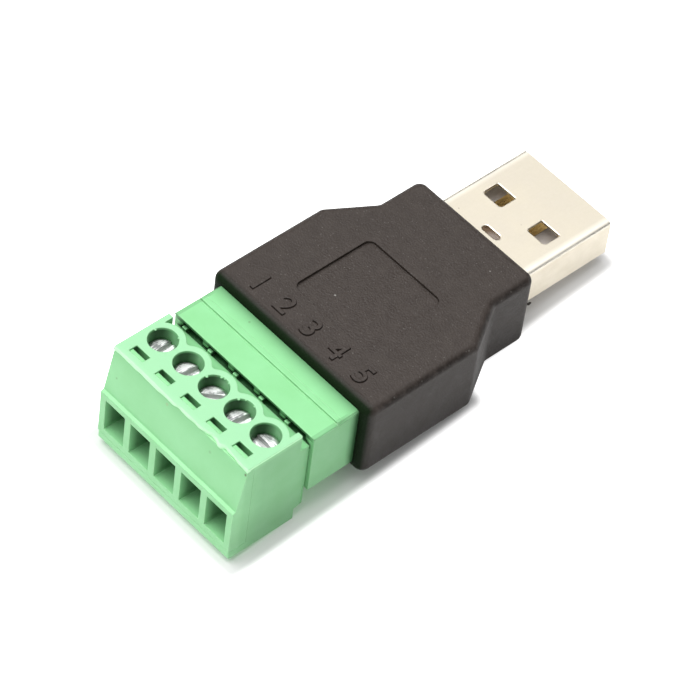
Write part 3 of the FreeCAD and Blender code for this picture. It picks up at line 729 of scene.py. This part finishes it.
def makePlug():
    # the front edge of the top plate is cut into short lengths and pushed in and out
    look = plugLook
    mesh = weldedCopy("plug_housing")
    frontX, cutX = look["frontX"], look["cutX"]

    def plateFaces(reachX=None):  # of the front edge, or those of them that end before reachX
        faces = [f for f in mesh.faces if f.calc_center_median().z > (look["plateZ"] - 0.05) * mm
                 and min(v.co.x for v in f.verts) < (frontX + 0.02) * mm]
        if reachX is None:
            return faces
        return [f for f in faces if max(v.co.x for v in f.verts) < (reachX + 0.01) * mm]

    def cut(faces, point, normal):
        parts = {}  # each once, and in the same order at every run
        for f in faces:
            parts.update(dict.fromkeys([f, *f.edges, *f.verts]))
        bmesh.ops.bisect_plane(mesh, geom=list(parts), dist=0.0001 * mm, plane_co=Vector(point) * mm,
                               plane_no=normal)

    cut(plateFaces(), (cutX, 0, 0), (1, 0, 0))
    for k in range(1, look["cuts"]):
        y = look["halfWidth"] * (2 * k / look["cuts"] - 1)
        faces = [f for f in plateFaces(cutX)
                 if min(v.co.y for v in f.verts) < (y - 0.001) * mm < max(v.co.y for v in f.verts)]
        if faces:
            cut(faces, (0, y, 0), (0, 1, 0))
    cut(plateFaces(frontX), (0, 0, look["midZ"]), (0, 0, 1))
    for v in mesh.verts:
        x, y, z = v.co / mm
        if x < frontX + 0.01 and z > look["plateZ"] - 0.01:
            share = (z - look["plateZ"]) / look["plateThick"]
            shift = along(look["plateFoot"], y) * (1 - share) + along(look["plateTop"], y) * share
            bulge = look["bulge"] if 0.2 < share < 0.8 else 0.0
            v.co.x = (x + shift - bulge) * mm
    piece = roundEdges(mesh, "plugHousing", greenPlastic, look["edgeRound"])
    register(piece, "terminal", ["plug_housing"])


def makeRimFlash():
    # crumbs of flash on the rims of the driver holes
    look = plugLook
    mesh = bmesh.new()
    for way, angle, size in look["rimFlash"]:
        turn = Matrix.Rotation(math.radians(angle), 3, "Z")
        middle = Vector((look["screwX"], wayY[way - 1], look["rimZ"]))
        for v in addLump(mesh, 2, 1.3, 0.3, (way, angle, 2.2), (size * 1.3, size, 0.07)):
            v.co = (turn @ (v.co + Vector((look["rimRadius"], 0, 0))) + middle) * mm
    piece = pieceFromMesh(mesh, "rimFlash", greenPlastic)
    register(piece, "terminal", [])


makePlug()
makeRimFlash()
makePiece("wire_cover", "wireCover", greenPlastic, plugLook["edgeRound"], "terminal")
print("screw terminal made")


# Clamp screws, cages and contact forks

def newGeometryTree(name, numbers, counts=()):
    tree = bpy.data.node_groups.new(name, "GeometryNodeTree")
    sockets = [("Geometry", "Geometry")] + [(label, "Int") for label in counts]
    sockets += [(label, "Float") for label in numbers] + [("Place", "Vector"), ("Material", "Material")]
    for label, kind in sockets:
        tree.interface.new_socket(name=label, in_out="INPUT", socket_type="NodeSocket" + kind)
    tree.interface.new_socket(name="Geometry", in_out="OUTPUT", socket_type="NodeSocketGeometry")
    return tree, tree.nodes.new("NodeGroupInput").outputs


def endGeometryTree(tree, given, added):
    # what comes in and what is added become one mesh in the given material
    join = addNode(tree, "GeometryNodeJoinGeometry")
    link(tree, given["Geometry"], join.inputs["Geometry"])
    link(tree, added, join.inputs["Geometry"])
    real = addNode(tree, "GeometryNodeRealizeInstances", {"Geometry": join.outputs["Geometry"]})
    dress = addNode(tree, "GeometryNodeSetMaterial", {
        "Geometry": real.outputs["Geometry"], "Material": given["Material"]})
    end = tree.nodes.new("NodeGroupOutput")
    link(tree, dress.outputs["Geometry"], end.inputs["Geometry"])
    return tree


def makeThreadTree():
    # a ridge wound round the shank, joined to the screw that comes in
    tree, given = newGeometryTree("screwThread", ("Radius", "Depth", "Pitch", "Height"))
    spiral = addNode(tree, "GeometryNodeCurveSpiral", {
        "Resolution": 28, "Rotations": math2(tree, "DIVIDE", given["Height"], given["Pitch"]),
        "Start Radius": given["Radius"], "End Radius": given["Radius"], "Height": given["Height"]})
    ridge = addNode(tree, "GeometryNodeCurvePrimitiveCircle", {"Resolution": 4, "Radius": given["Depth"]},
                    mode="RADIUS")
    sweep = addNode(tree, "GeometryNodeCurveToMesh", {
        "Curve": spiral.outputs["Curve"], "Profile Curve": ridge.outputs["Curve"], "Fill Caps": True})
    move = addNode(tree, "GeometryNodeTransform", {
        "Geometry": sweep.outputs["Mesh"], "Translation": given["Place"]})
    return endGeometryTree(tree, given, move.outputs["Geometry"])


def makeRibTree():
    # grip ribs in a row across the floor of a cage
    tree, given = newGeometryTree("gripRibs", ("Spacing", "Width", "Rise"), ("Count",))
    step = addNode(tree, "ShaderNodeCombineXYZ", {"X": given["Spacing"]})
    row = addNode(tree, "GeometryNodeMeshLine", {
        "Count": given["Count"], "Start Location": given["Place"], "Offset": step.outputs["Vector"]},
        mode="OFFSET")
    rib = addNode(tree, "GeometryNodeMeshCylinder", {
        "Vertices": 4, "Radius": given["Rise"], "Depth": given["Width"]})
    lay = addNode(tree, "GeometryNodeInstanceOnPoints", {
        "Points": row.outputs["Mesh"], "Instance": rib.outputs["Mesh"], "Rotation": (math.pi / 2, 0, 0)})
    return endGeometryTree(tree, given, lay.outputs["Instances"])


def addGeometry(piece, name, tree, values):
    modifier = piece.modifiers.new(name, "NODES")
    modifier.node_group = tree
    for item in tree.interface.items_tree:
        if item.item_type == "SOCKET" and item.in_out == "INPUT" and item.name in values:
            modifier[item.identifier] = values[item.name]
    settle(piece)


threadTree = makeThreadTree()
ribTree = makeRibTree()

# in mm, with one slot angle for each way in degrees
screwLook = {"threadPitch": 0.4, "coreRadius": 0.84, "crestRadius": 0.985, "edgeRound": 0.04,
             "slotAngles": (4, -7, -45, -8, 88), "x": -19.75, "low": 5.9, "high": 9.3}


def makeScrew(way):
    look = screwLook
    nodeName = "clamp_screw_%d" % way
    zinc = makeZinc("zinc%d" % way, math.radians(-look["slotAngles"][way - 1]))
    middleX, middleY = look["x"] * mm, wayY[way - 1] * mm
    mesh = weldedCopy(nodeName)
    for v in mesh.verts:
        if v.co.z < (look["high"] - 0.1) * mm:  # the shank is 1 mm in radius, and gives way to the core
            v.co.x = middleX + (v.co.x - middleX) * look["coreRadius"]
            v.co.y = middleY + (v.co.y - middleY) * look["coreRadius"]
    piece = roundEdges(mesh, "clampScrew%d" % way, zinc, look["edgeRound"])
    addGeometry(piece, "thread", threadTree, {
        "Radius": look["coreRadius"] * mm, "Depth": (look["crestRadius"] - look["coreRadius"]) * mm,
        "Pitch": look["threadPitch"] * mm, "Height": (look["high"] - look["low"] - 0.5) * mm,
        "Place": (middleX, middleY, (look["low"] + 0.35) * mm), "Material": zinc})
    register(piece, "screw_%d" % way, [nodeName])


cageLook = {"edgeRound": 0.04, "ribs": 5, "ribSpacing": 0.45, "ribWidth": 2.1, "ribRise": 0.06,
            "firstRibX": -20.65, "ribZ": 2.05}


def makeCage(way):
    look = cageLook
    nodeName = "wire_cage_%d" % way
    mesh = weldedCopy(nodeName, flatLimit=2.0)
    piece = roundEdges(mesh, "wireCage%d" % way, cageNickel, look["edgeRound"])
    addGeometry(piece, "ribs", ribTree, {
        "Count": look["ribs"], "Spacing": look["ribSpacing"] * mm, "Width": look["ribWidth"] * mm,
        "Rise": look["ribRise"] * mm, "Material": cageNickel,
        "Place": (look["firstRibX"] * mm, wayY[way - 1] * mm, look["ribZ"] * mm)})
    register(piece, "cage_%d" % way, [nodeName])


forkLook = {"edgeRound": 0.03}

for way in range(1, len(wayY) + 1):
    makeScrew(way)
    makeCage(way)
    makePiece("contact_fork_%d" % way, "contactFork%d" % way, pinTin, forkLook["edgeRound"], "terminal")
print("clamps made")


# USB plug and what is inside the body

shellLook = {"edgeRound": 0.14, "plainShare": 0.35, "segments": 3,
             # the outer rims of the windows in the wide faces are rounded in full, other edges less
             "windowsX": (13.0, 24.0), "windowsY": 4.6, "facesZ": (5.0, 9.2)}
innerLook = {"tongueRound": 0.04, "contactRound": 0.03, "pinRound": 0.04, "contacts": 4}


def makeShell():
    look = shellLook

    def share(middle):
        onFace = not look["facesZ"][0] <= middle.z <= look["facesZ"][1]
        inRange = look["windowsX"][0] < middle.x < look["windowsX"][1] and abs(middle.y) < look["windowsY"]
        return 1.0 if onFace and inRange else look["plainShare"]

    mesh = weldedCopy("usb_shell", flatLimit=0.0)
    piece = roundEdges(mesh, "usbShell", shellSteel, look["edgeRound"], share, look["segments"])
    register(piece, "adapter", ["usb_shell"])


def makeInner():
    look = innerLook
    makePiece("usb_tongue", "usbTongue", insulator, look["tongueRound"], "adapter")
    for i in range(1, look["contacts"] + 1):
        makePiece("usb_contact_%d" % i, "usbContact%d" % i, contactGold, look["contactRound"], "adapter")
    for i in range(1, len(wayY) + 1):
        makePiece("header_pin_%d" % i, "headerPin%d" % i, pinTin, look["pinRound"], "adapter")
    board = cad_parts["circuit_board"]
    board.data.materials.clear()
    board.data.materials.append(laminate)


makeShell()
makeInner()
print("USB plug made")


# Floor, light and camera

floorLook = {"albedo": 0.6, "roughness": 0.9, "specular": 0.1, "half": 3.0, "drop": 0.01,
             # light it gives to the part, then what the camera sees beside the part and away from it: close
             # beside the part the camera sees little glow, a painted shadow deepening the real one
             "lift": 0.60, "glow": 0.30, "nearGlow": 0.05, "clearLift": 1.0,
             "clearFrom": 0.0002, "clearReach": 0.0018,
             # the part's outline on the floor: middle and half size of two boxes, in m
             "outline": (((-0.0105, 0, 0), (0.0145, 0.0098, 1)), ((0.0145, 0, 0), (0.0105, 0.0062, 1))),
             # the terminal's heel and the rounded lower edge of the nose, in mm
             "heelX": -17.15, "noseX": 11.95, "noseZ": 3.55, "noseRound": 0.9}


def boxDistance(tree, place, middle, half):
    vector = place
    for operation, value in (("SUBTRACT", middle), ("ABSOLUTE", (0, 0, 0)), ("SUBTRACT", half),
                             ("MAXIMUM", (0, 0, 0))):
        vector = addNode(tree, "ShaderNodeVectorMath", {0: vector, 1: value},
                         operation=operation).outputs["Vector"]
    return addNode(tree, "ShaderNodeVectorMath", {0: vector}, operation="LENGTH").outputs["Value"]


def floorTilt():
    # the floor touches the heel and the nose: a few rounds settle the angle
    look = floorLook
    reach = look["noseX"] - look["heelX"]
    tilt = 0.0
    for _ in range(40):
        gap = -math.sin(tilt) * reach + look["noseZ"] * math.cos(tilt) - look["noseRound"]
        tilt += gap / reach
    return tilt


def makeFloor():
    look = floorLook
    material, tree, shader, place = newMaterial("paleFloor", look["roughness"], specular=look["specular"])
    shader["Base Color"].default_value = (look["albedo"],) * 3 + (1,)
    shader["Emission Color"].default_value = (1, 1, 1, 1)
    rays = addNode(tree, "ShaderNodeLightPath")
    lift = math2(tree, "MULTIPLY", rays.outputs["Is Diffuse Ray"], look["lift"])
    # painted shadow: the glow the camera sees rises with the distance from the part's outline
    away = chain(tree, "MINIMUM", *(boxDistance(tree, place, *box) for box in look["outline"]))
    clear = addNode(tree, "ShaderNodeMapRange", {
        "Value": away, "From Min": look["clearFrom"], "From Max": look["clearReach"],
        "To Max": look["clearLift"]}, interpolation_type="SMOOTHSTEP")
    seen = math2(tree, "MULTIPLY", clear.outputs["Result"], rays.outputs["Is Camera Ray"])
    unseen = ramp(tree, rays.outputs["Is Camera Ray"], 0.0, 1.0, look["glow"], look["nearGlow"])
    link(tree, chain(tree, "ADD", lift, seen, unseen), shader["Emission Strength"])
    data = bpy.data.meshes.new("floor")
    tilt = floorTilt()
    corners = []
    for sx, sy in ((-1, -1), (1, -1), (1, 1), (-1, 1)):
        x = sx * look["half"] * math.cos(tilt)
        z = sx * look["half"] * math.sin(tilt)
        corners.append((look["heelX"] * mm + x, sy * look["half"], z - look["drop"] * mm))
    data.from_pydata(corners, [], [(0, 1, 2, 3)])
    newPiece(data, "floor", material)


lightLook = {"sunStrength": 2.95, "sunAngle": 58, "sunFrom": (-0.27, 0.27, 0.92),
             # strength of the sky low down and overhead, and the heights between which it rises
             "skyLow": 0.08, "skyTop": 1.15, "skyFrom": 0.42, "skyFull": 0.74}


def makeLights():
    look = lightLook
    world = bpy.data.worlds.new("studio")
    bpy.context.scene.world = world
    world.use_nodes = True
    tree = world.node_tree
    background = tree.nodes["Background"]
    height = splitAxes(tree, addNode(tree, "ShaderNodeTexCoord").outputs["Generated"])[2]
    sky = addNode(tree, "ShaderNodeMapRange", {
        "Value": height, "From Min": look["skyFrom"], "From Max": look["skyFull"],
        "To Min": look["skyLow"], "To Max": look["skyTop"]}, interpolation_type="SMOOTHSTEP")
    rays = addNode(tree, "ShaderNodeLightPath")
    link(tree, math2(tree, "MAXIMUM", sky.outputs["Result"], rays.outputs["Is Camera Ray"]),
         background.inputs["Strength"])
    background.inputs["Color"].default_value = (1, 1, 1, 1)
    lamp = bpy.data.lights.new("key", "SUN")
    lamp.energy = look["sunStrength"]
    lamp.angle = math.radians(look["sunAngle"])
    key = bpy.data.objects.new("key", lamp)
    key.rotation_mode = "QUATERNION"
    key.rotation_quaternion = Vector(look["sunFrom"]).to_track_quat("Z", "Y")
    bpy.context.scene.collection.objects.link(key)


# fitted to the photograph: the camera's own axes and its place
cameraLook = {"lens": 198.75, "sensor": 36.0, "clip": (0.01, 20.0),
              "right": (0.7375629, -0.6682036, 0.0974934), "up": (0.4569841, 0.6001977, 0.6564513),
              "back": (-0.4971584, -0.4396212, 0.7480419), "spot": (-0.179986, -0.156983, 0.271704)}


def makeCamera():
    look = cameraLook
    data = bpy.data.cameras.new("camera")
    data.lens = look["lens"]
    data.sensor_width = look["sensor"]
    data.clip_start, data.clip_end = look["clip"]
    camera = bpy.data.objects.new("camera", data)
    rows = zip(look["right"], look["up"], look["back"], look["spot"])
    camera.matrix_world = Matrix([list(row) for row in rows] + [[0, 0, 0, 1]])
    bpy.context.scene.collection.objects.link(camera)
    bpy.context.scene.camera = camera


makeFloor()
makeLights()
makeCamera()
bpy.context.scene.view_settings.view_transform = "Standard"
print("stage made")
